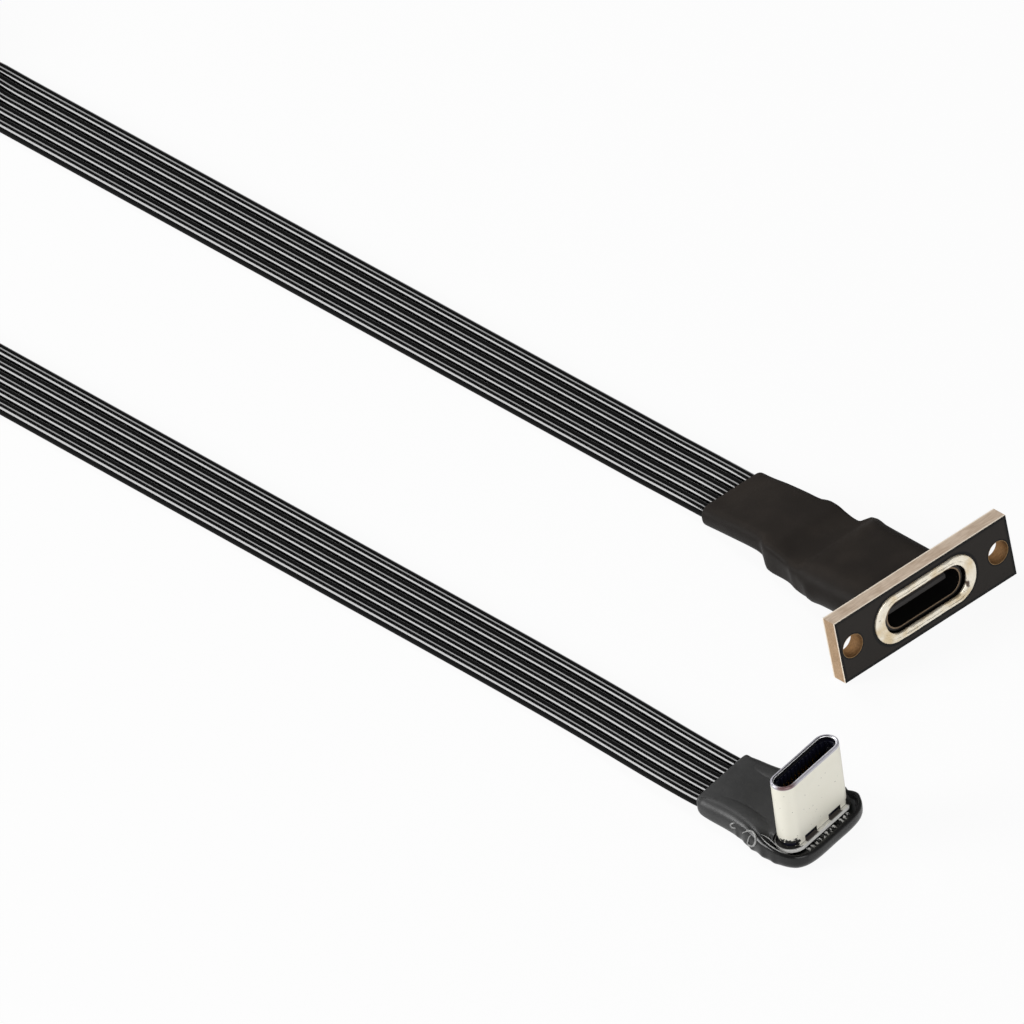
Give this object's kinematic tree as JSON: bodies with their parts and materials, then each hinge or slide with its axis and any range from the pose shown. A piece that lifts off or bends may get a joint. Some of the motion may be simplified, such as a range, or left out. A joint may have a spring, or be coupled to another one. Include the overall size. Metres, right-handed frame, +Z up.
{
  "type": "flat flex usb-c cable",
  "caption": "Flat ribbon extension cable with a panel-mount receptacle on a small black plate and an upright plug standing from its heat-shrunk board",
  "frame": {"origin": "on the table, under the middle of the receptacle end without the ribbon and plug", "axes": "+X is the way the receptacle faces along the table, +Y runs across the plate, +Z is up"},
  "size_m": [0.1674, 0.0487, 0.0085],
  "materials": {
    "plate_laminate": "black satin board with bare tan edges",
    "solder": "dull tinned metal",
    "shell_steel": "plated sheet, satin",
    "housing_plastic": "dark moulded plastic",
    "contact_metal": "plated, polished",
    "board_laminate": "dark solder mask",
    "wire_metal": "tinned strands",
    "shrink_tube": "matte heat-shrink tube",
    "wire_jacket": "glossy soft jacket",
    "plug_steel": "bright drawn shell with a polished rim"
  },
  "bodies": {
    "root": {"panel_plate": "plate_laminate", "solder_ring": "solder", "receptacle_shell": "shell_steel", "receptacle_housing": "housing_plastic", "receptacle_mid_plate": "shell_steel", "receptacle_ground_pads": "shell_steel", "receptacle_contacts_upper": "contact_metal", "receptacle_contacts_lower": "contact_metal", "receptacle_board": "board_laminate", "receptacle_pin_solder": "solder", "receptacle_wire_ends": "wire_metal", "receptacle_wire_solder": "solder", "receptacle_sleeve": "shrink_tube", "ribbon": "wire_jacket", "plug_wire_ends": "wire_metal", "plug_wire_solder": "solder", "plug_board": "board_laminate", "plug_contacts_front": "contact_metal", "plug_contacts_rear": "contact_metal", "plug_pin_solder": "solder", "plug_housing": "housing_plastic", "plug_latch": "shell_steel", "plug_ground_springs": "shell_steel", "plug_shell": "plug_steel", "plug_sleeve": "shrink_tube"}
  },
  "joints": []
}
